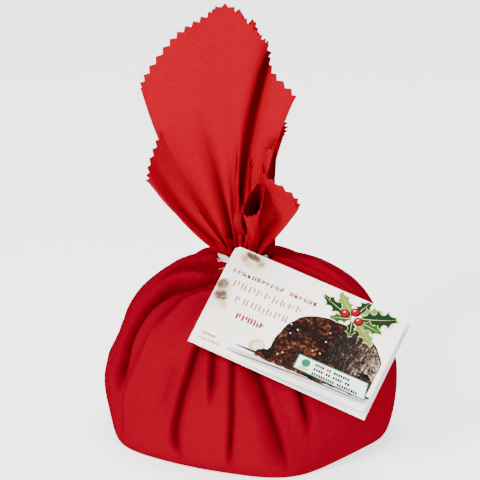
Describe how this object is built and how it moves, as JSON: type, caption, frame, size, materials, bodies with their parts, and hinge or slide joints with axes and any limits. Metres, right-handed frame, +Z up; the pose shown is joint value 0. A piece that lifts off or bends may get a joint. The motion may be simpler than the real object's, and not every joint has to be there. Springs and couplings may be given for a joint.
{
  "type": "christmas pudding",
  "caption": "Round steamed pudding tied up in a red cotton cloth with pinked edges, with a string round its neck and a folded card tag.",
  "frame": {"origin": "the middle of the whole thing's box, at the height of the flat base", "axes": "+Z up through the tied neck to the cloth's standing corners; the front, with the tag, faces -Y; +X is on the right"},
  "size_m": [0.1688, 0.1834, 0.2516],
  "materials": {
    "red_cotton": "matte",
    "cotton_string": "matte",
    "tag_card": "satin"
  },
  "bodies": {
    "root": {"wrapped_pudding": "red_cotton", "neck_string": "cotton_string", "tag_card": "tag_card"}
  },
  "joints": []
}
